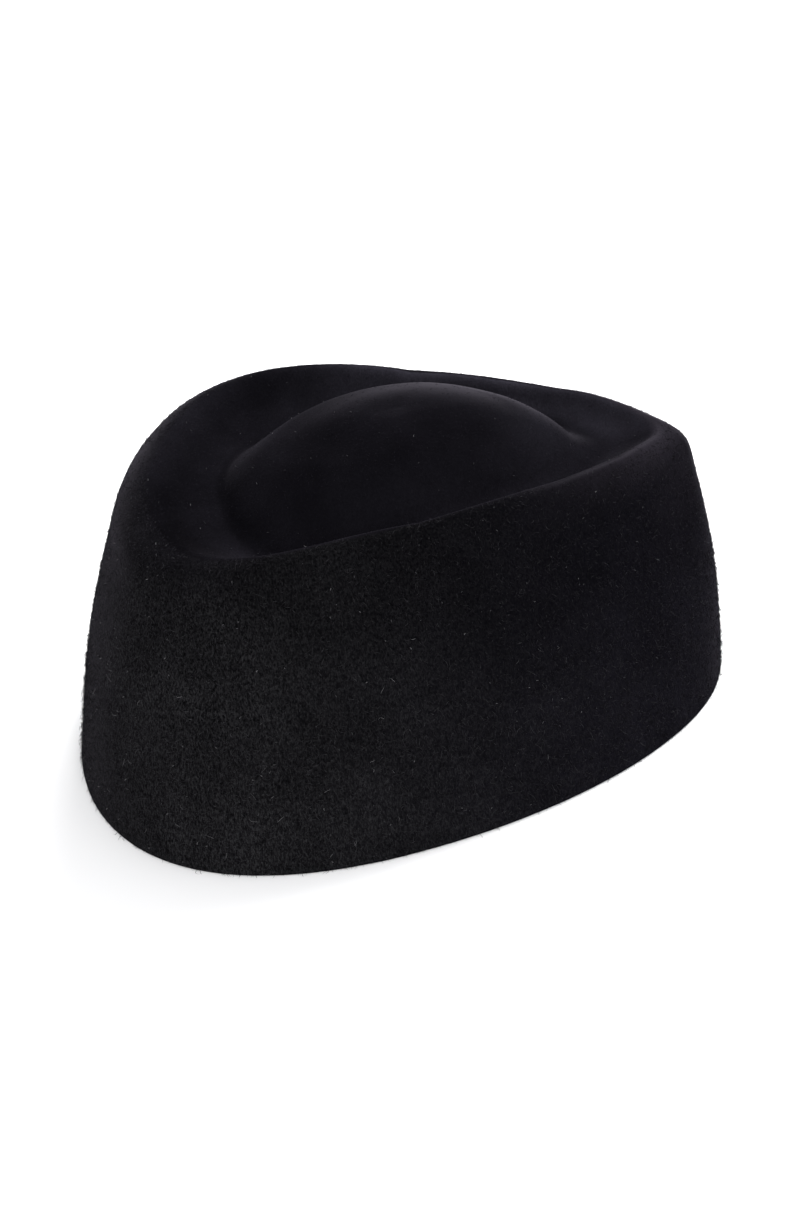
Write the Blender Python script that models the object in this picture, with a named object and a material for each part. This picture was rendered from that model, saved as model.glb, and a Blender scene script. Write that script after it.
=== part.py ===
"""A brimless felt hat, blocked in one piece.

One body of black velour felt makes the whole hat: a wall that rises from a cut edge and leans in,
a folded crest of teardrop plan, a channel inside the crest, and a raised dome in the middle.
The front is at -Y and up is +Z. The origin is under the middle of the hat, on the surface that the
hat stands on.
"""
import math
from collections import namedtuple

import bmesh
import bpy
import numpy as np

# Every size below is in millimetres.
MM = 0.001

FELT_THICKNESS = 2.4

# The front of the crest is pinched in between finger and thumb, on both sides.
PINCH_TURN = 23.0           # degrees round from the front
PINCH_SPREAD = 17.0         # degrees
PINCH_DEPTH = 4.0

# Two arcs that would overlap on the leg between their corners take this share of it together.
LEG_SHARE = 0.97

# How finely the felt's curves are followed.
MERIDIANS = 84
ARC_ROWS = 5
LONGEST_ROW = 16.0

# A line runs once round the hat, and is where the section through the wall would turn a corner if
# the felt were not rounded there.
Line = namedtuple("Line", [
    "name",
    "front", "back",                    # how far it reaches from the origin, towards -Y and +Y
    "half",                             # half its width, midway between its two ends
    "nose", "heel",                     # how blunt its ends are; an ellipse has 1 at both
    "z_front", "z_side", "z_back",      # its height
    "r_front", "r_side", "r_back",      # the radius that the felt is rounded to over it
    "tip",                              # how closely its front radius keeps to the tip, from 2 up
    "pinch",                            # its share of the pinch at the front
])

LINES = (
    Line("edge",     99.5, 100.5, 86.5, 0.83, 1.31,  0.0,  0.0,  0.0,   0,   0,   0, 2, 0.0),
    Line("belly",   102.0,  92.0, 74.5, 0.73, 1.49, 36.5, 43.0, 39.0, 300, 350, 250, 2, 0.4),
    Line("crest",    96.0,  71.5, 50.0, 0.68, 2.05, 83.0, 95.0, 88.5,   9,   4,  14, 4, 1.0),
    Line("channel",  66.0,  42.5, 42.5, 0.83, 1.47, 77.0, 67.0, 81.0,  12,   6,   3, 2, 0.5),
    Line("shoulder", 56.5,  29.5, 27.0, 0.91, 1.06, 89.0, 95.0, 91.0,  40,  14,  16, 2, 0.0),
    Line("top",      30.0,   4.0, 11.0, 1.00, 1.00, 99.5, 99.5, 99.5,  70,  45,  45, 2, 0.0),
    Line("pole",     13.0, -13.0,  0.0, 1.00, 1.00, 99.5, 99.5, 99.5,   0,   0,   0, 2, 0.0),
)


def weigh(turn, front, side, back):
    """A value that changes smoothly round the hat, from the front, past the side, to the back."""
    ahead = np.cos(turn)
    return side * np.sin(turn) ** 2 + np.where(ahead > 0, front, back) * ahead ** 2


def rounding(turn, line):
    """The radius of the felt over a line, which is softer at the line's ends than at its side."""
    ahead = np.cos(turn)
    end = np.where(ahead > 0, line.r_front, line.r_back)
    share = np.abs(ahead) ** np.where(ahead > 0, line.tip, 2)
    return line.r_side + (end - line.r_side) * share


def pinched(turn):
    """1 where the right side is pinched most and -1 where the left is, fading to 0 between."""
    from_front = np.degrees((turn + math.pi) % (2 * math.pi) - math.pi)
    right = np.exp(-((from_front - PINCH_TURN) / PINCH_SPREAD) ** 2)
    left = np.exp(-((from_front + PINCH_TURN) / PINCH_SPREAD) ** 2)
    return right - left


def plan(turn, line):
    """A line's X and Y: an ellipse with a pointed or blunted front and back."""
    ahead = np.cos(turn)
    fullness = 1 + (line.nose - line.heel) / 2 * ahead
    fullness += ((line.nose + line.heel) / 2 - 1) * ahead ** 2
    x = line.half * np.sin(turn) * fullness - PINCH_DEPTH * line.pinch * pinched(turn)
    y = (line.back - line.front) / 2 - (line.front + line.back) / 2 * ahead
    return x, y


def corners(turn):
    """The points where each line crosses each meridian, and the radius of the felt there."""
    points, radii = [], []
    for line in LINES:
        x, y = plan(turn, line)
        z = weigh(turn, line.z_front, line.z_side, line.z_back)
        points.append(np.stack([x, y, z], axis=1))
        radii.append(rounding(turn, line))
    return np.array(points), np.array(radii)


def rounded_section(points, radii):
    """Rows of points up the wall and over the crown, with an arc in place of each corner."""
    legs = points[1:] - points[:-1]
    lengths = np.linalg.norm(legs, axis=2)
    ways = legs / lengths[..., None]
    half_angles = np.arccos(-(ways[:-1] * ways[1:]).sum(axis=2)) / 2

    # An arc starts this far from its corner. Where two arcs would meet on a leg, both shrink.
    setback = np.zeros(radii.shape)
    setback[1:-1] = radii[1:-1] / np.tan(half_angles)
    wanted = np.maximum(setback[:-1] + setback[1:], 1e-9)
    room = np.minimum(1, LEG_SHARE * lengths / wanted)
    setback[1:-1] *= np.minimum(room[:-1], room[1:])

    rows = [points[0]]
    for i in range(1, len(points) - 1):
        start = points[i] - ways[i - 1] * setback[i][:, None]
        end = points[i] + ways[i] * setback[i][:, None]
        rows += straight(rows[-1], start)
        middle = np.sin(half_angles[i - 1])[:, None]
        for u in np.linspace(0, 1, ARC_ROWS):
            a, b, c = (1 - u) ** 2, 2 * u * (1 - u) * middle, u ** 2
            rows.append((a * start + b * points[i] + c * end) / (a + b + c))
    rows += straight(rows[-1], points[-1])
    rows.append(points[-1])
    return rows


def straight(start, end):
    """Rows between two others, close enough together for the felt's curve round the hat."""
    longest = np.linalg.norm(end - start, axis=1).max()
    count = math.ceil(longest / LONGEST_ROW)
    return [start + (end - start) * i / count for i in range(1, count)]


def blocked_sheet():
    """The outside of the felt, as one open sheet from the edge up to the pole."""
    turn = np.arange(MERIDIANS) * 2 * math.pi / MERIDIANS
    rows = rounded_section(*corners(turn))
    pole = rows.pop()[0]

    sheet = bmesh.new()
    rings = [[sheet.verts.new(p * MM) for p in row] for row in rows]
    for low, high in zip(rings, rings[1:]):
        for k in range(MERIDIANS):
            n = (k + 1) % MERIDIANS
            sheet.faces.new((low[k], low[n], high[n], high[k]))
    centre = sheet.verts.new(pole * MM)
    for k in range(MERIDIANS):
        sheet.faces.new((rings[-1][k], rings[-1][(k + 1) % MERIDIANS], centre))
    return sheet


def velour_felt():
    """Black velour felt: very dark, a little violet, and matt."""
    material = bpy.data.materials.new("black_velour_felt")
    material.use_nodes = True
    shader = material.node_tree.nodes["Principled BSDF"]
    shader.inputs["Base Color"].default_value = (0.010, 0.0095, 0.012, 1)
    shader.inputs["Roughness"].default_value = 0.95
    shader.inputs["Metallic"].default_value = 0
    shader.inputs["Sheen Weight"].default_value = 0.3
    return material


def felt_crown():
    """The hat: the blocked sheet made as thick as the felt is, with its edge cut level."""
    felt = blocked_sheet()
    felt.normal_update()
    bmesh.ops.solidify(felt, geom=felt.faces[:], thickness=FELT_THICKNESS * MM)
    for vert in felt.verts:
        if vert.co.z < FELT_THICKNESS * MM:
            vert.co.z = 0
    bmesh.ops.recalc_face_normals(felt, faces=felt.faces[:])

    mesh = bpy.data.meshes.new("felt_crown")
    felt.to_mesh(mesh)
    felt.free()
    mesh.shade_smooth()
    mesh.set_sharp_from_angle(angle=math.radians(50))
    mesh.materials.append(velour_felt())
    crown = bpy.data.objects.new("felt_crown", mesh)
    bpy.context.collection.objects.link(crown)
    return crown


for old in list(bpy.data.objects):
    bpy.data.objects.remove(old, do_unlink=True)
felt_crown()
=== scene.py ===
"""The looks of a black velour felt hat without a brim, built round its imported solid.

Metres, unless a name or comment says otherwise. The front is at -Y and up is +Z.
"""
import math
from collections import namedtuple

import bpy
import numpy as np
from mathutils import Euler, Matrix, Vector, noise


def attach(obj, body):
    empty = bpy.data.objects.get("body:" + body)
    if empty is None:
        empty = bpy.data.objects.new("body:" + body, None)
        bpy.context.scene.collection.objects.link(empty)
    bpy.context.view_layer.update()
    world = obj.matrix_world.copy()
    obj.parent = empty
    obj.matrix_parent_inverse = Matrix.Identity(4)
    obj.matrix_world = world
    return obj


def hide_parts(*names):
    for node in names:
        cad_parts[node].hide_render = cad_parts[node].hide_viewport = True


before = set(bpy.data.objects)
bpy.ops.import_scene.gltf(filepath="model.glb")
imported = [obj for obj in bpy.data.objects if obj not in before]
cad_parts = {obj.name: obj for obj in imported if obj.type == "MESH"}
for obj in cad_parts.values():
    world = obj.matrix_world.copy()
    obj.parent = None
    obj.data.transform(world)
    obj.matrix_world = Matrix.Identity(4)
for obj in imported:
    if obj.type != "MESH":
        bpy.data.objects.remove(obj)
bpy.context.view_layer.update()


# The felt. One hood of fur felt is steamed and pulled over a teardrop block, pressed down into the
# channel round the dome, and creased by hand along the crest. Wall, crest, channel and dome are
# therefore one piece, 2.4 mm thick, and the wall ends where it was cut level with a knife.
MM = 0.001                              # the felt's own sizes are in millimetres
FELT_THICKNESS = 2.4

# The front of the crest is pinched in between finger and thumb, on both sides.
PINCH_TURN = 23.0                       # degrees round from the front
PINCH_SPREAD = 17.0                     # degrees
PINCH_DEPTH = 4.0

# Two arcs that would overlap on the leg between their corners take this share of it together.
LEG_SHARE = 0.97

# How finely the felt's curves are followed.
MERIDIANS = 288
ARC_ROWS = 9
LONGEST_ROW = 3.2

# A line runs once round the hat, and is where the section through the wall would turn a corner if
# the felt were not rounded there.
Line = namedtuple("Line", [
    "name",
    "front", "back",                    # how far it reaches towards -Y and +Y
    "half",                             # half its width, midway between its two ends
    "nose", "heel",                     # how blunt its ends are; an ellipse has 1 at both
    "z_front", "z_side", "z_back",      # its height
    "r_front", "r_side", "r_back",      # the radius that the felt is rounded to over it
    "tip",                              # how closely its front radius keeps to the tip, from 2 up
    "pinch",                            # its share of the pinch at the front
])

LINES = (
    Line("edge",     99.5, 100.5, 86.5, 0.83, 1.31,  0.0,  0.0,  0.0,   0,   0,   0, 2, 0.0),
    Line("belly",   102.0,  92.0, 74.5, 0.73, 1.49, 36.5, 43.0, 39.0, 300, 350, 250, 2, 0.4),
    Line("crest",    96.0,  71.5, 50.0, 0.68, 2.05, 83.0, 95.0, 88.5,   9,   4,  14, 4, 1.0),
    Line("channel",  66.0,  42.5, 42.5, 0.83, 1.47, 77.0, 67.0, 81.0,  12,   6,   3, 2, 0.5),
    Line("shoulder", 56.5,  29.5, 27.0, 0.91, 1.06, 89.0, 95.0, 91.0,  40,  14,  16, 2, 0.0),
    Line("top",      30.0,   4.0, 11.0, 1.00, 1.00, 99.5, 99.5, 99.5,  70,  45,  45, 2, 0.0),
    Line("pole",     13.0, -13.0,  0.0, 1.00, 1.00, 99.5, 99.5, 99.5,   0,   0,   0, 2, 0.0),
)

# The knife's cut across the felt: share of the thickness from outside to inside, and height. Wear
# has rounded its two edges.
CUT = ((0.0, 0.7), (0.07, 0.25), (0.22, 0.04), (0.5, 0.0), (0.78, 0.04), (0.93, 0.25), (1.0, 0.7))

# Hand blocking leaves the felt a little uneven: the lengths and depths of its swells and dips.
UNEVEN = ((46.0, 0.42), (17.0, 0.14), (6.5, 0.05))

# The course of the felt, from the cut up the wall, over the crest and through the channel to the
# pole. It is a number that every point of the felt has, so that its finish can follow the shape.
COURSE_MARKS = (0, 1, 2, 3)             # at the cut, the crest, the channel and the pole
EVENED_OVER = MERIDIANS // 24           # meridians on either side that a mark is evened over


def weigh(turn, front, side, back):
    """A value that changes smoothly round the hat, from the front, past the side, to the back."""
    ahead = np.cos(turn)
    return side * np.sin(turn) ** 2 + np.where(ahead > 0, front, back) * ahead ** 2


def rounding(turn, line):
    """The radius of the felt over a line, which is softer at the line's ends than at its side."""
    ahead = np.cos(turn)
    end = np.where(ahead > 0, line.r_front, line.r_back)
    share = np.abs(ahead) ** np.where(ahead > 0, line.tip, 2)
    return line.r_side + (end - line.r_side) * share


def pinched(turn):
    """1 where the right side is pinched most and -1 where the left is, fading to 0 between."""
    from_front = np.degrees((turn + math.pi) % (2 * math.pi) - math.pi)
    right = np.exp(-((from_front - PINCH_TURN) / PINCH_SPREAD) ** 2)
    left = np.exp(-((from_front + PINCH_TURN) / PINCH_SPREAD) ** 2)
    return right - left


def plan(turn, line):
    """A line's X and Y: an ellipse with a pointed or blunted front and back."""
    ahead = np.cos(turn)
    fullness = 1 + (line.nose - line.heel) / 2 * ahead
    fullness += ((line.nose + line.heel) / 2 - 1) * ahead ** 2
    x = line.half * np.sin(turn) * fullness - PINCH_DEPTH * line.pinch * pinched(turn)
    y = (line.back - line.front) / 2 - (line.front + line.back) / 2 * ahead
    return x, y


def straight(start, end):
    """Rows between two others, close enough together for the felt's curve round the hat."""
    longest = np.linalg.norm(end - start, axis=1).max()
    count = math.ceil(longest / LONGEST_ROW)
    return [start + (end - start) * i / count for i in range(1, count)]


def corners():
    """The points where each line crosses each meridian, and the radius of the felt there."""
    turn = np.arange(MERIDIANS) * 2 * math.pi / MERIDIANS
    points = []
    radii = []
    for line in LINES:
        x, y = plan(turn, line)
        z = weigh(turn, line.z_front, line.z_side, line.z_back)
        points.append(np.stack([x, y, z], axis=1))
        radii.append(rounding(turn, line))
    return np.array(points), np.array(radii)


def rounded_section(points, radii):
    """Rows of points up the wall and over the crown, with an arc in place of each corner."""
    legs = points[1:] - points[:-1]
    lengths = np.linalg.norm(legs, axis=2)
    ways = legs / lengths[..., None]
    half_angles = np.arccos(-(ways[:-1] * ways[1:]).sum(axis=2)) / 2

    # An arc starts this far from its corner. Where two arcs would meet on a leg, both shrink.
    setback = np.zeros(radii.shape)
    setback[1:-1] = radii[1:-1] / np.tan(half_angles)
    wanted = np.maximum(setback[:-1] + setback[1:], 1e-9)
    room = np.minimum(1, LEG_SHARE * lengths / wanted)
    setback[1:-1] *= np.minimum(room[:-1], room[1:])

    rows = [points[0]]
    for i in range(1, len(points) - 1):
        start = points[i] - ways[i - 1] * setback[i][:, None]
        end = points[i] + ways[i] * setback[i][:, None]
        rows += straight(rows[-1], start)
        middle = np.sin(half_angles[i - 1])[:, None]
        for u in np.linspace(0, 1, ARC_ROWS):
            a = (1 - u) ** 2
            b = 2 * u * (1 - u) * middle
            c = u ** 2
            rows.append((a * start + b * points[i] + c * end) / (a + b + c))
    rows += straight(rows[-1], points[-1])
    return np.array(rows), points[-1][0]


def outward_ways(rows, pole):
    """Which way the felt faces at each point of its rows."""
    round_way = np.roll(rows, -1, axis=1) - np.roll(rows, 1, axis=1)
    above = np.concatenate([rows[1:], np.broadcast_to(pole, rows[:1].shape)])
    below = np.concatenate([rows[:1], rows[:-1]])
    normals = np.cross(round_way, above - below)
    return normals / np.linalg.norm(normals, axis=2, keepdims=True)


def proud_by(points):
    """How far hand blocking has left the felt proud at each of these points."""
    proud = np.zeros(len(points))
    for length, depth in UNEVEN:
        # Each length reads its own part of the noise.
        shift = Vector((length, 3.0 * length, 7.0))
        proud += depth * np.array([noise.noise(Vector(p) / length + shift) for p in points])
    return proud


def blocked_felt():
    """The outside rows, which way they face, the inside rows and the outside pole."""
    rows, pole = rounded_section(*corners())
    normals = outward_ways(rows, pole)
    rows = rows + normals * proud_by(rows.reshape(-1, 3)).reshape(rows.shape[:2])[..., None]
    rows[..., 2] = np.maximum(rows[..., 2], CUT[0][1])
    normals = outward_ways(rows, pole)
    inside = rows - normals * FELT_THICKNESS
    inside[..., 2] = np.maximum(inside[..., 2], CUT[-1][1])
    return rows, normals, inside, pole


def ringed_mesh(name, rings, poles):
    """A closed mesh of rings, each joined to the next, with a fan to a pole at either end."""
    count = rings.shape[1]
    points = np.concatenate([rings.reshape(-1, 3), poles]) * MM
    faces = []
    around = np.arange(count)
    after = (around + 1) % count
    for low in range(len(rings) - 1):
        a = low * count
        b = a + count
        faces.append(np.stack([a + around, a + after, b + after, b + around], axis=1))
    faces = np.concatenate(faces).tolist()
    first_pole = len(points) - 2
    last = (len(rings) - 1) * count
    faces += [[first_pole, n, k] for k, n in zip(around.tolist(), after.tolist())]
    faces += [[last + k, last + n, first_pole + 1] for k, n in zip(around.tolist(), after.tolist())]
    mesh = bpy.data.meshes.new(name)
    mesh.from_pydata(points.tolist(), [], faces)
    mesh.update()
    mesh.shade_smooth()
    piece = bpy.data.objects.new(name, mesh)
    bpy.context.collection.objects.link(piece)
    return piece


def evened(values):
    """Values round the hat, each made the mean of itself and its neighbours."""
    turned = [np.roll(values, k) for k in range(-EVENED_OVER, EVENED_OVER + 1)]
    return np.mean(turned, axis=0)


def course(rows, pole):
    """How far along the felt's course each point of its outside is."""
    steps = np.linalg.norm(np.diff(rows, axis=0), axis=2)
    along = np.concatenate([np.zeros((1, rows.shape[1])), np.cumsum(steps, axis=0)])
    whole = along[-1] + np.linalg.norm(rows[-1] - pole, axis=1)
    climbs = np.diff(rows[..., 2], axis=0) > 0
    at_crest = np.empty(rows.shape[1])
    at_channel = np.empty(rows.shape[1])
    for k in range(rows.shape[1]):
        crest = np.argmin(climbs[:, k])
        channel = crest + np.argmax(climbs[crest:, k])
        at_crest[k] = along[crest, k]
        at_channel[k] = along[channel, k]
    at_crest = evened(at_crest)
    at_channel = evened(at_channel)
    courses = np.empty(along.shape)
    for k in range(rows.shape[1]):
        lengths = [0, at_crest[k], at_channel[k], whole[k]]
        courses[:, k] = np.interp(along[:, k], lengths, COURSE_MARKS)
    return courses


outside, outward, inside, top_pole = blocked_felt()
courses = course(outside, top_pole)
cut_rows = np.array([
    outside[0] * (1 - share) + inside[0] * share for share, _ in CUT[1:-1]
])
for row, (_, height) in zip(cut_rows, CUT[1:-1]):
    row[:, 2] = height
inner_pole = top_pole - np.array([0, 0, FELT_THICKNESS])
rings = np.concatenate([inside[::-1], cut_rows[::-1], outside])
felt = ringed_mesh("blocked_velour", rings, np.array([inner_pole, top_pole]))
cut_courses = np.full((len(cut_rows), MERIDIANS), COURSE_MARKS[0])
pole_courses = [COURSE_MARKS[-1], COURSE_MARKS[-1]]
course_of = felt.data.attributes.new("course", "FLOAT", "POINT")
course_of.data.foreach_set("value", np.concatenate([
    courses[::-1].ravel(), cut_courses.ravel(), courses.ravel(), pole_courses,
]).astype(np.float32))


class Reading:
    """One output of a finish's nodes. Sums and products of readings add their Math nodes."""

    def __init__(self, socket):
        self.socket = socket

    def node(self, kind, settings=None, values=None):
        """Adds a node of that kind, sets it up, and feeds its sockets with numbers or readings."""
        tree = self.socket.id_data
        made = tree.nodes.new(kind)
        for name, setting in (settings or {}).items():
            setattr(made, name, setting)
        usable = [socket for socket in made.inputs if socket.enabled]
        for name, value in (values or {}).items():
            if isinstance(name, int):
                socket = usable[name]
            else:
                socket = next(s for s in usable if s.name == name)
            if isinstance(value, Reading):
                tree.links.new(value.socket, socket)
            else:
                socket.default_value = value
        return Reading(next(socket for socket in made.outputs if socket.enabled))

    def output(self, name):
        return Reading(self.socket.node.outputs[name])

    def math(self, operation, *values):
        return self.node("ShaderNodeMath", {"operation": operation}, dict(enumerate(values)))

    def __add__(self, other):
        return self.math("ADD", self, other)

    __radd__ = __add__

    def __sub__(self, other):
        return self.math("SUBTRACT", self, other)

    def __rsub__(self, other):
        return self.math("SUBTRACT", other, self)

    def __mul__(self, other):
        return self.math("MULTIPLY", self, other)

    __rmul__ = __mul__

    def either(self, other):
        return self.math("MAXIMUM", self, other)

    def ramp(self, low, high):
        """0 up to low, 1 from high on, and smooth between."""
        return self.node(
            "ShaderNodeMapRange",
            {"interpolation_type": "SMOOTHSTEP"},
            {"Value": self, "From Min": low, "From Max": high},
        )

    def fade(self, low, high):
        """1 up to low, 0 from high on, and smooth between."""
        return 1 - self.ramp(low, high)

    def band(self, starts, full, fades, gone):
        """1 from full to where it fades, and 0 before it starts and once it is gone."""
        return self.ramp(starts, full) * self.fade(fades, gone)

    def level(self, first, second):
        """A number that is the first where this reading is 0, and the second where it is 1."""
        return first + (second - first) * self

    def between(self, first, second):
        """A blend of two colours or colour readings, by this reading."""
        return self.node(
            "ShaderNodeMix",
            {"data_type": "RGBA"},
            {"Factor": self, "A": first, "B": second},
        )

    def scaled(self, colour):
        """A colour made lighter or darker by this reading."""
        return self.node(
            "ShaderNodeVectorMath",
            {"operation": "SCALE"},
            {"Vector": colour, "Scale": self},
        )


SHEEN_SPREAD = 0.30                     # roughness of the sheen that the ends of the fur give


def finish(name, roughness, sheen=0.0, tint=(1, 1, 1)):
    """A new material without gloss, and its surface shader."""
    material = bpy.data.materials.new(name)
    material.use_nodes = True
    shader = material.node_tree.nodes["Principled BSDF"]
    shader.inputs["Roughness"].default_value = roughness
    shader.inputs["Sheen Weight"].default_value = sheen
    shader.inputs["Sheen Roughness"].default_value = SHEEN_SPREAD
    shader.inputs["Sheen Tint"].default_value = (*tint, 1)
    shader.inputs["Specular IOR Level"].default_value = 0
    return material, shader


# A curl is a thin line where a noise passes its middle value. A stroke is a spot of noise drawn out
# along its length.
NOISE_MIDDLE = 0.5
CURL_WIDTH = 0.075
STROKE_DRAWN_OUT = 0.22
STROKE_EDGE = 0.16


def curls(where, per_metre, warp):
    """Thin curly lines, like fur lying on felt."""
    field = where.node("ShaderNodeTexNoise", values={
        "Vector": where, "Scale": per_metre, "Detail": 2.0, "Roughness": 0.6, "Distortion": warp,
    })
    away = where.math("ABSOLUTE", field - NOISE_MIDDLE)
    return away.fade(0.0, CURL_WIDTH)


def strokes(where, per_metre, turn, keep):
    """Short straight strokes of fur, most of them along one direction."""
    turned = where.node("ShaderNodeMapping", values={
        "Vector": where, "Rotation": turn, "Scale": (1.0, 1.0, STROKE_DRAWN_OUT),
    })
    field = where.node("ShaderNodeTexNoise", values={
        "Vector": turned, "Scale": per_metre, "Detail": 1.0, "Roughness": 0.5,
    })
    return field.ramp(keep, keep + STROKE_EDGE)


def clouds(where, per_metre, detail):
    return where.node("ShaderNodeTexNoise", values={
        "Vector": where, "Scale": per_metre, "Detail": detail, "Roughness": 0.55,
    })


velour, velour_shader = finish("black_velour", roughness=0.92, sheen=0.014, tint=(0.88, 0.83, 1.0))

# Where a point of the felt is: how far towards the back, how far towards the hat's left, and how
# far along its course.
where = Reading(velour.node_tree.nodes.new("ShaderNodeTexCoord").outputs["Object"])
places = where.node("ShaderNodeSeparateXYZ", values={0: where})
back_way = places.output("Y")
left_way = places.output("X")
course_way = where.node("ShaderNodeAttribute", {"attribute_name": "course"}).output("Fac")
at_back = back_way.ramp(0.010, 0.060)
at_nose = back_way.fade(-0.092, -0.074)

# The wall's fur stops at the crest's fold, less sharply at the nose. At the back, where the felt
# rolls over, it thins out instead.
over_fold = at_nose.level(course_way.ramp(0.985, 1.03), course_way.ramp(0.99, 1.16))
in_crest = at_back.level(over_fold, course_way.ramp(0.80, 1.04))

# The fur, as a pattern: straight strokes that lie three ways, curls among them, and fine tufts. In
# wider patches the whole felt is a little lighter or darker.
UPRIGHT_SHOWS = 0.8
CURLED_SHARE = 0.35
lying = strokes(where, per_metre=2500.0, turn=(0.9, 0.3, 0.0), keep=0.52)
lying_back = strokes(where, per_metre=2350.0, turn=(-0.7, 0.5, 0.4), keep=0.52)
upright = strokes(where, per_metre=2200.0, turn=(0.2, -0.4, 1.1), keep=0.54)
straight_fur = lying.either(lying_back).either(UPRIGHT_SHOWS * upright)
curled_fur = curls(where, per_metre=800.0, warp=0.8)
tufts = clouds(where, per_metre=1200.0, detail=2.0).ramp(0.26, 0.78)
patches = clouds(where, per_metre=48.0, detail=4.0).ramp(0.28, 0.72)
fur = (1 - CURLED_SHARE) * straight_fur + CURLED_SHARE * curled_fur
fur = fur * tufts.level(0.62, 1.0)

# The wall is painted lighter low down than near the crest: painted light. Hands take the hat by its
# front, so the fur lies flatter there and shows less, and the wall there is also painted darker:
# painted shade. Pinching has worn the fold at the front, and it and the nose are paler: wear and a
# painted highlight.
FELT_DEEP = (0.0017, 0.0017, 0.0020, 1)
FELT_BLACK = (0.0038, 0.0037, 0.0043, 1)
FELT_FUR = (0.0168, 0.0167, 0.0180, 1)
FELT_FLAT_AND_SHADED = (0.0034, 0.0032, 0.0049, 1)
WORN_HIGHLIGHT_COLOUR = (0.0112, 0.0100, 0.0130, 1)
FLAT_AND_SHADED_SHOWS = 0.74
TIP_WORN_HIGHLIGHT_SHOWS = 0.45
ground = at_back.level(1.0, 0.65).scaled(tufts.between(FELT_DEEP, FELT_BLACK))
wall_colour = (fur * at_back.level(0.95, 1.30)).between(ground, FELT_FUR)
# Towards the front the fur shows less and the wall is darker: flatter fur and painted shade.
flat_and_shaded = back_way.fade(-0.080, 0.030)
wall_colour = (FLAT_AND_SHADED_SHOWS * flat_and_shaded).between(wall_colour, FELT_FLAT_AND_SHADED)
# Painted light and shade: the wall is lighter low down and darker near the crest at the front.
low_wall = course_way.fade(0.0, 0.9)
painted_wall_light = low_wall.level(at_back.level(0.60, 0.90), at_back.level(1.20, 1.24))
wall_colour = painted_wall_light.scaled(wall_colour)
# The fold at the front and the nose are paler: wear and a painted highlight.
fold_worn_highlight = back_way.fade(-0.090, -0.035) * course_way.ramp(0.80, 1.01)
tip_worn_highlight = back_way.fade(-0.098, -0.078) * course_way.ramp(0.50, 0.95)
worn_highlight = fold_worn_highlight.either(TIP_WORN_HIGHLIGHT_SHOWS * tip_worn_highlight)
wall_colour = worn_highlight.between(wall_colour, WORN_HIGHLIGHT_COLOUR)

# Inside the crest the slope is painted paler, above all on the hat's left: painted light. The
# channel is painted paler too: painted light. Near the nose on the right the slope is painted
# darker: painted shade of the crest.
# The crown's felt is darker than the wall's: painted shade on its upward faces.
CROWN_BLACK = (0.0025, 0.0023, 0.0031, 1)
CROWN_FUR = (0.0049, 0.0047, 0.0061, 1)
SLOPE_PAINTED_LIGHT = 4.8
CHANNEL_PAINTED_LIGHT = 0.9
CREST_SHADE_DARKER = 0.45
BACK_SHADE_DARKER = 0.28
CREASE_SHADE_DARKER = 0.42
LIP_SHADE_DARKER = 0.45
painted_slope_light = course_way.band(0.95, 1.02, 1.60, 2.05) * back_way.fade(-0.010, 0.035)
painted_slope_light = painted_slope_light * back_way.ramp(-0.082, -0.042).level(0.62, 0.94)
painted_slope_light = painted_slope_light * left_way.ramp(-0.003, 0.011).level(0.08, 1.0)
painted_crest_shade = back_way.band(-0.092, -0.070, -0.068, -0.050) * left_way.fade(-0.003, 0.014)
painted_crest_shade = painted_crest_shade * course_way.ramp(1.05, 1.25)
channel_light_and_shade = course_way.band(1.2, 1.8, 2.15, 2.6) * (1 - at_back) - CREST_SHADE_DARKER * painted_crest_shade

# Over the back of the crest the felt is painted dark on the near side and pale on the far side, and
# darkest along the lip: painted shade and painted light. The whole crown is painted darker over the
# back: painted shade. The block pressed a crease where the channel meets the back of the dome, and
# the crease is painted darker: painted shade.
back_roll = at_back * course_way.band(0.90, 1.02, 1.15, 1.55)
roll_light_and_shade = left_way.ramp(-0.030, 0.045).level(-0.30, 0.50)
painted_lip_shade = at_back * course_way.band(0.96, 1.04, 1.30, 1.70) * left_way.fade(-0.040, -0.018)
painted_crease_shade = at_back * course_way.band(1.88, 1.98, 2.02, 2.20)
# The crown's tone: painted light on the slope and in the channel, painted shade near the nose, over
# the back, along the lip and in the crease, and painted light and shade over the back roll.
crown_tone = 1 + SLOPE_PAINTED_LIGHT * painted_slope_light + CHANNEL_PAINTED_LIGHT * channel_light_and_shade
crown_tone = crown_tone - BACK_SHADE_DARKER * at_back * course_way.ramp(0.9, 1.3) + back_roll * roll_light_and_shade
crown_tone = crown_tone * (1 - CREASE_SHADE_DARKER * painted_crease_shade) * (1 - LIP_SHADE_DARKER * painted_lip_shade)
crown_colour = (fur * at_back.level(0.6, 1.2)).between(CROWN_BLACK, CROWN_FUR)
crown_colour = crown_tone.scaled(crown_colour)
colour = patches.level(0.78, 1.18).scaled(in_crest.between(wall_colour, crown_colour))

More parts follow.
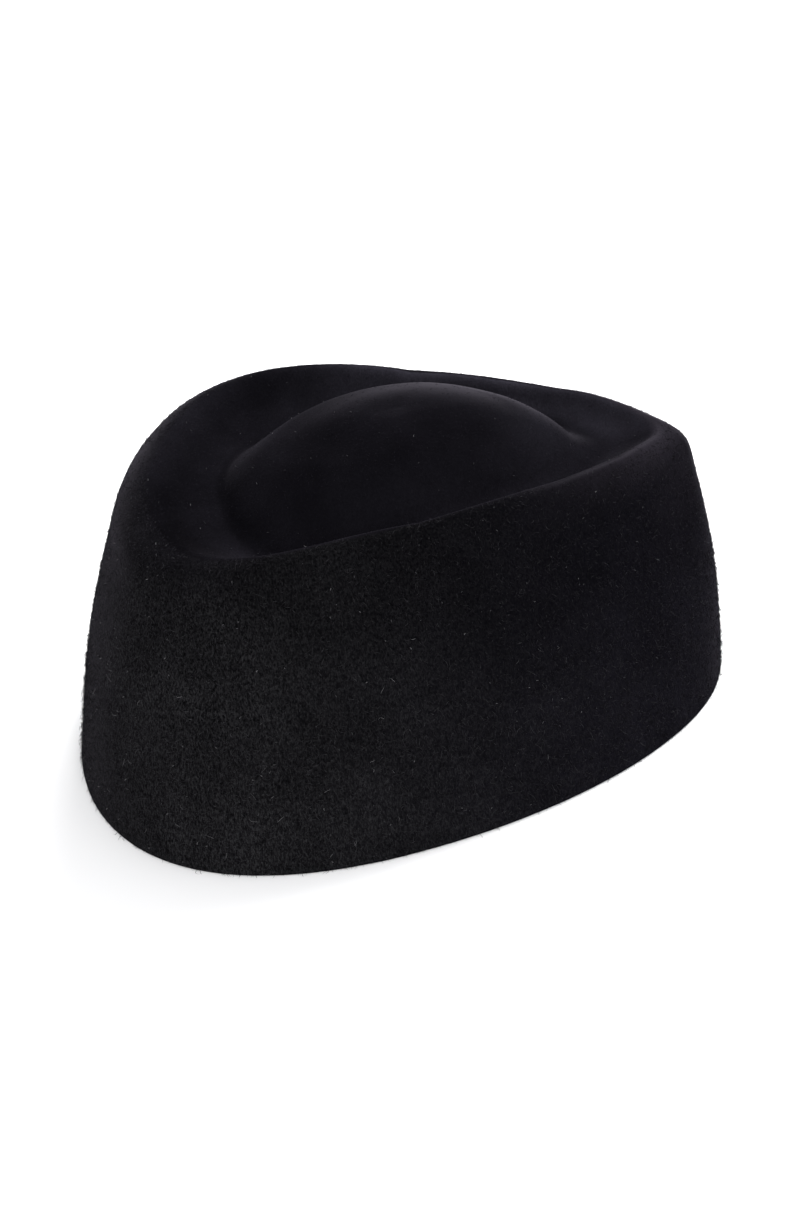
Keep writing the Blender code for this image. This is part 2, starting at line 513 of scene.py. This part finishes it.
# Painted sheen: seen along the felt, its colour is made paler, as the tips of the fur would look
# against the light, clearest on the dome, along the fold and on the brow just below it. On the
# fold's own line a painted highlight shows from every side, where the felt turns sharply.
PAINTED_SHEEN = (0.0312, 0.0288, 0.0346, 1)
DOME_SHEEN = 0.95
BROW_SHEEN = 0.45
FOLD_SHEEN = 0.80
ROLL_SHEEN = 0.45
seen_along = where.node("ShaderNodeLayerWeight", values={"Blend": 0.5}).output("Facing")
dome = course_way.ramp(1.7, 2.2) * back_way.fade(-0.030, 0.024)
dome = dome * back_way.ramp(-0.064, -0.036).level(0.25, 1.0)
brow = course_way.band(0.70, 0.90, 0.96, 1.0)
fold = course_way.band(0.93, 1.0, 1.02, 1.10) * back_way.fade(-0.070, -0.030)
roll = at_back * course_way.band(0.60, 0.95, 1.05, 1.30) * left_way.ramp(-0.030, 0.015)
sheen_on = in_crest.level(at_back.level(0.24, 0.36), 0.05)
sheen_on = sheen_on + DOME_SHEEN * dome + BROW_SHEEN * brow + FOLD_SHEEN * fold + ROLL_SHEEN * roll
fold_line = course_way.band(0.970, 0.995, 1.000, 1.035) * back_way.fade(-0.072, -0.040)
painted_fold_highlight = left_way.ramp(-0.012, 0.006).level(0.30, 0.06) * fold_line
# The painted sheen and the painted fold highlight go into the felt's colour.
painted_sheen = (seen_along.ramp(0.52, 0.96) * sheen_on).either(painted_fold_highlight)
colour = painted_sheen.between(colour, PAINTED_SHEEN)

# Strokes, curls and tufts stand off the felt a little, and inside the crest less.
TUFT_RELIEF = 0.5
RELIEF_DEPTH = 0.00025
relief = fur * in_crest.level(1.0, 0.3) + TUFT_RELIEF * tufts
bump = where.node("ShaderNodeBump", values={
    "Height": relief, "Strength": 0.5, "Distance": RELIEF_DEPTH,
})
velour.node_tree.links.new(colour.socket, velour_shader.inputs["Base Color"])
velour.node_tree.links.new(bump.socket, velour_shader.inputs["Normal"])

felt.data.materials.append(velour)
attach(felt, "root")
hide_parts("felt_crown")


# The nap. Brushing raises short ends of fur over the outside, about 1 to 3 mm long on the wall,
# where they lie every way. Inside the crest steam and handling have laid them flatter and shorter,
# and the fold at the front is worn bare. Each strand starts in the felt, and softens its outline.
Nap = namedtuple("Nap", [
    "name",
    "low", "high",                      # heights between which it grows
    "inside_crest",                     # whether it grows inside the crest or outside it
    "count",
    "bent",                             # whether its strands are bent over or straight
    "shortest", "longest",              # lengths of its strands
    "thick",                            # thickness of a strand at its root
    "lift",                             # how far a strand stands off the felt, share of its length
])

NAPS = (
    Nap("nap_lower_wall", -0.01, 0.042, False, 46000, False, 0.0009, 0.0024, 0.00016, 0.18),
    Nap("nap_upper_wall", 0.042, 0.200, False, 36000, False, 0.0009, 0.0020, 0.00015, 0.16),
    Nap("nap_crown", -0.01, 0.200, True, 11000, False, 0.0006, 0.0013, 0.00012, 0.09),
    Nap("curls_lower_wall", -0.01, 0.042, False, 9000, True, 0.0014, 0.0030, 0.00014, 0.34),
    Nap("curls_upper_wall", 0.042, 0.200, False, 6000, True, 0.0012, 0.0024, 0.00013, 0.28),
    Nap("curls_crown", -0.01, 0.200, True, 2000, True, 0.0008, 0.0015, 0.00011, 0.18),
)

# Tones of the strands on the wall and inside the crest, from dark to pale, and the share of the
# strands that has each.
TONES = (
    ("fur_black", (0.0023, 0.0022, 0.0026), 0.36),
    ("fur_dark", (0.0063, 0.0061, 0.0068), 0.44),
    ("fur_grey", (0.0220, 0.0217, 0.0233), 0.20),
)
# Strands inside the crest are darker than the wall's: painted shade on the upward faces.
CROWN_TONES = (
    ("crown_fur_black", (0.0029, 0.0027, 0.0037), 0.45),
    ("crown_fur_dark", (0.0047, 0.0043, 0.0057), 0.40),
    ("crown_fur_grey", (0.0093, 0.0087, 0.0110), 0.15),
)

# A strand is a needle of three sides from root to tip, or two such lengths with a bend between.
NEEDLE = np.array([[0, 1, 3], [1, 2, 3], [2, 0, 3], [0, 2, 1]])
BENT = np.array([
    [0, 1, 4], [0, 4, 3], [1, 2, 5], [1, 5, 4], [2, 0, 3], [2, 3, 5],
    [3, 4, 6], [4, 5, 6], [5, 3, 6], [0, 2, 1],
])
LIFT_VARIES = (0.5, 1.5)                # share of its nap's lift that a strand has
BEND_SPREAD = 0.35                      # how far to the side its tip lies, share of its length
TIP_REACH = 0.95                        # how far along its tip lies, share of its length
MIDDLE_REACH = 0.5                      # the same for its bend
MIDDLE_LIFT = 0.8                       # share of its tip's lift
MIDDLE_THICK = 0.8                      # share of its root's thickness
LOWEST_STRAND = 0.0001                  # no strand reaches below the surface the hat stands on

# Not all strands keep the tone that they were dealt. More of them are darker the nearer they are to
# the nose, where hands flatten the fur: flatter fur and painted shade. More are darker where the
# felt
# rolls over the back: painted shade. Some behind the middle, and more far back, are a tone lighter:
# painted light.
SPARED_AT_NOSE = 0.35                   # share that hands have left alone this far forward,
SPARED_FROM = -0.080
SPARED_OVER = 0.110                     # and over how long it rises by 1 from there
ROLL_SHADE_SHARE = 0.6
REAR_PAINTED_LIGHT = 0.28
FAR_BACK_PAINTED_LIGHT = 0.32
LIP_RIGHT = -0.028                      # inside the crest, all are dark to the right of here
LIP_BACK = 0.020                        # and behind here

BARE_FRONT = 0.052                      # the fold is worn bare from here forward,
BARE_HALF = 0.026                       # this far to either side along the felt's course
FUR_SEED = 58


def fur_finishes(tones):
    made = []
    for name, tone, _ in tones:
        material, shader = finish(name, roughness=0.90, sheen=0.04, tint=(0.86, 0.80, 1.0))
        shader.inputs["Base Color"].default_value = (*tone, 1)
        made.append(material)
    return made


def sheet_triangles(rows):
    """The outside as triangles: their corners as places in the rows."""
    count = rows.shape[1]
    around = np.arange(count)
    after = (around + 1) % count
    found = []
    for low in range(len(rows) - 1):
        a = low * count
        b = a + count
        found.append(np.stack([a + around, a + after, b + after], axis=1))
        found.append(np.stack([a + around, b + after, b + around], axis=1))
    return np.concatenate(found)


def scattered(rng, triangles, points, normals, count):
    """That many random places over these triangles, with the way that the felt faces there."""
    a, b, c = (points[triangles[:, i]] for i in range(3))
    area = np.linalg.norm(np.cross(b - a, c - a), axis=1)
    chosen = rng.choice(len(triangles), size=count, p=area / area.sum())
    u = rng.random(count)
    v = rng.random(count)
    over = u + v > 1
    u[over] = 1 - u[over]
    v[over] = 1 - v[over]
    share = np.stack([1 - u - v, u, v], axis=1)[..., None]
    place = (points[triangles[chosen]] * share).sum(axis=1)
    way = (normals[triangles[chosen]] * share).sum(axis=1)
    return place, way / np.linalg.norm(way, axis=1, keepdims=True)


def strand_points(nap, rng, place, way, corners):
    """The corners of every strand: three at its root, three at its bend, if any, and its tip."""
    any_way = rng.normal(size=place.shape)
    along = any_way - (any_way * way).sum(axis=1, keepdims=True) * way
    along /= np.linalg.norm(along, axis=1, keepdims=True)
    across = np.cross(way, along)
    size = rng.uniform(nap.shortest, nap.longest, nap.count)[:, None]
    lifted = nap.lift * rng.uniform(*LIFT_VARIES, nap.count)[:, None]
    bend = rng.normal(0, BEND_SPREAD, nap.count)[:, None] if nap.bent else 0
    root = place - way * nap.thick
    middle = place + size * (MIDDLE_REACH * along + MIDDLE_LIFT * lifted * way)
    tip = place + size * (TIP_REACH * along + bend * across + lifted * way)

    points = np.empty((nap.count, corners, 3))
    for k in range(3):
        angle = 2 * math.pi * k / 3
        out = (math.cos(angle) * across + math.sin(angle) * way) * nap.thick / 2
        points[:, k] = root + out
        if nap.bent:
            points[:, 3 + k] = middle + MIDDLE_THICK * out
    points[:, -1] = tip
    points[..., 2] = np.maximum(points[..., 2], LOWEST_STRAND)
    return points


def rising(values, start, end):
    """0 up to the start, 1 from the end on, and straight between."""
    return np.clip((values - start) / (end - start), 0, 1)


def strand_tones(nap, rng, place, shares):
    """The tone of every strand, from 0 for the darkest up."""
    x, y, z = place.T
    tone = rng.choice(len(shares), size=nap.count, p=shares)
    # Darker near the nose (flatter fur and painted shade) and over the back roll (painted shade).
    darker_and_shaded = rng.random(nap.count) > SPARED_AT_NOSE + (y - SPARED_FROM) / SPARED_OVER
    over_roll = rising(z, 0.066, 0.078) * rising(y, 0.035, 0.055)
    darker_and_shaded |= rng.random(nap.count) < ROLL_SHADE_SHARE * over_roll
    tone[darker_and_shaded] = np.maximum(tone[darker_and_shaded] - 1, 0)
    far_back = rising(y, 0.050, 0.080) * rising(z, 0.0, 0.050)
    # Painted light: lighter strands behind the middle and far back.
    painted_light_share = REAR_PAINTED_LIGHT * rising(y, -0.020, 0.040) + FAR_BACK_PAINTED_LIGHT * far_back
    painted_light_share *= 1 - rising(z, 0.068, 0.088)
    painted_lighter = rng.random(nap.count) < painted_light_share
    tone[painted_lighter] = np.minimum(tone[painted_lighter] + 1, len(shares) - 1)
    # Painted shade: inside the crest, strands on the near side of the back lip are all darkest.
    if nap.inside_crest:
        tone[(x < LIP_RIGHT) & (y > LIP_BACK)] = 0
    return tone


def strands_mesh(nap, rng, place, way, tones, finishes):
    """Tapering three-sided strands, one body each, that lie over the felt from root to tip."""
    faces = BENT if nap.bent else NEEDLE
    points = strand_points(nap, rng, place, way, faces.max() + 1)
    every = (faces[None] + points.shape[1] * np.arange(nap.count)[:, None, None]).reshape(-1, 3)
    mesh = bpy.data.meshes.new(nap.name)
    mesh.from_pydata(points.reshape(-1, 3).tolist(), [], every.tolist())
    mesh.update()
    mesh.shade_smooth()
    for material in finishes:
        mesh.materials.append(material)
    tone = strand_tones(nap, rng, place, [share for _, _, share in tones])
    mesh.polygons.foreach_set("material_index", np.repeat(tone, len(faces)).astype(np.int32))
    piece = bpy.data.objects.new(nap.name, mesh)
    bpy.context.collection.objects.link(piece)
    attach(piece, "root")
    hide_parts("felt_crown")


felt_points = outside.reshape(-1, 3) * MM
felt_normals = outward.reshape(-1, 3)
felt_triangles = sheet_triangles(outside)
heights = felt_points[felt_triangles, 2].mean(axis=1)
forward = -felt_points[felt_triangles, 1].mean(axis=1)
past_crest = courses.ravel()[felt_triangles].mean(axis=1) - COURSE_MARKS[1]
bare = (forward > BARE_FRONT) & (np.abs(past_crest) < BARE_HALF)


def room_for(nap):
    """Which of the felt's triangles lie where this nap grows."""
    return (heights > nap.low) & (heights <= nap.high) & ((past_crest > 0) == nap.inside_crest)


rng = np.random.default_rng(FUR_SEED)
wall_furs = fur_finishes(TONES)
crown_furs = fur_finishes(CROWN_TONES)
for nap in NAPS:
    grows = room_for(nap) & ~bare
    place, way = scattered(rng, felt_triangles[grows], felt_points, felt_normals, nap.count)
    if nap.inside_crest:
        strands_mesh(nap, rng, place, way, CROWN_TONES, crown_furs)
    else:
        strands_mesh(nap, rng, place, way, TONES, wall_furs)


# Lint. Dark felt holds what settles on it: pale ends of thread and specks of fluff all over, and
# longer hairs low on the wall. Each is one short bent fibre that lies on the nap.
LINTS = (
    Nap("lint_specks", -0.01, 0.200, False, 430, True, 0.0003, 0.0008, 0.00021, 0.30),
    Nap("lint_hairs", -0.01, 0.060, False, 150, True, 0.0010, 0.0028, 0.00010, 0.30),
    Nap("lint_crown", -0.01, 0.200, True, 90, True, 0.0003, 0.0007, 0.00016, 0.30),
)
LINT_TONES = (
    ("lint_grey", (0.0480, 0.0470, 0.0500), 0.68),
    ("lint_pale", (0.1250, 0.1220, 0.1280), 0.32),
)
LINT_HAIR = 0.001                       # longer ones are hairs, shorter ones are specks
HAIR_FRONT = 0.045                      # hands have wiped the hairs off from here forward
LINT_LIFT = 0.00025                     # how far off the felt the nap holds it

lint_finishes = fur_finishes(LINT_TONES)
for nap in LINTS:
    lies = room_for(nap)
    if nap.longest > LINT_HAIR:
        lies &= forward < HAIR_FRONT
    place, way = scattered(rng, felt_triangles[lies], felt_points, felt_normals, nap.count)
    strands_mesh(nap, rng, place + LINT_LIFT * way, way, LINT_TONES, lint_finishes)


# The surface that the hat rests on, and soft light. Two windows, a high one and a low one, are
# beyond the hat as the camera sees it, and two weaker lights are on the camera's side.
FLOOR_RADIUS = 14.0
LIGHTS_AIM = Vector((0, 0, 0.05))


def stage_floor():
    bpy.ops.mesh.primitive_circle_add(vertices=96, radius=FLOOR_RADIUS, fill_type="NGON")
    floor = bpy.context.object
    floor.name = "pale_floor"
    material, shader = finish("pale_floor", roughness=0.9)
    shader.inputs["Base Color"].default_value = (0.86, 0.86, 0.87, 1)
    floor.data.materials.append(material)


def soft_light(name, place, size, power):
    """A wide square light that faces the hat."""
    data = bpy.data.lights.new(name, "AREA")
    data.shape = "SQUARE"
    data.size = size
    data.energy = power
    light = bpy.data.objects.new(name, data)
    light.location = place
    light.rotation_mode = "QUATERNION"
    light.rotation_quaternion = (LIGHTS_AIM - Vector(place)).to_track_quat("-Z", "Y")
    bpy.context.collection.objects.link(light)


stage_floor()
soft_light("window_behind", (1.00, -1.00, 1.15), size=0.9, power=54.0)
soft_light("window_low", (1.45, -0.35, 0.50), size=0.7, power=30.0)
soft_light("window_before", (-1.3, -0.1, 1.1), size=1.0, power=12.0)
soft_light("front_fill", (-1.7, 0.2, 0.35), size=1.2, power=9.0)

# The room is paler on the side that the windows are on.
WINDOWS_WAY = (0.40, -0.62, 0.68)
ROOM_DIM = (0.35, 0.35, 0.35, 1)
ROOM_PALE = (1.20, 1.20, 1.20, 1)

world = bpy.data.worlds.new("soft_room")
world.use_nodes = True
room = world.node_tree.nodes["Background"]
outlook = Reading(world.node_tree.nodes.new("ShaderNodeTexCoord").outputs["Generated"])
towards = outlook.node(
    "ShaderNodeVectorMath", {"operation": "DOT_PRODUCT"}, {0: outlook, 1: WINDOWS_WAY},
)
room_colour = towards.output("Value").ramp(-0.9, 0.9).between(ROOM_DIM, ROOM_PALE)
world.node_tree.links.new(room_colour.socket, room.inputs["Color"])
room.inputs["Strength"].default_value = 1.0
bpy.context.scene.world = world
bpy.context.scene.view_settings.view_transform = "Standard"
bpy.context.scene.view_settings.look = "None"


# The camera stands beyond the hat's right side, about 30 degrees up.
CAMERA_TURN = math.radians(273.507)
CAMERA_HEIGHT = math.radians(30.049)
CAMERA_ROLL = math.radians(-9.146)
CAMERA_DISTANCE = 0.9179
CAMERA_AIM = Vector((0.0, -0.00292, 0.03085))
SENSOR = 36
FOCAL_PIXELS = 3000
PICTURE_TALL = 1222

lens = bpy.data.cameras.new("camera")
lens.sensor_width = SENSOR
lens.lens = SENSOR * FOCAL_PIXELS / PICTURE_TALL
lens.clip_start = 0.05
lens.clip_end = 60
camera = bpy.data.objects.new("camera", lens)
back = Vector((
    math.sin(CAMERA_TURN) * math.cos(CAMERA_HEIGHT),
    -math.cos(CAMERA_TURN) * math.cos(CAMERA_HEIGHT),
    math.sin(CAMERA_HEIGHT),
))
camera.location = CAMERA_AIM + back * CAMERA_DISTANCE
camera.rotation_mode = "QUATERNION"
tilt = Euler((0, 0, CAMERA_ROLL)).to_quaternion()
camera.rotation_quaternion = (-back).to_track_quat("-Z", "Y") @ tilt
bpy.context.collection.objects.link(camera)
bpy.context.scene.camera = camera
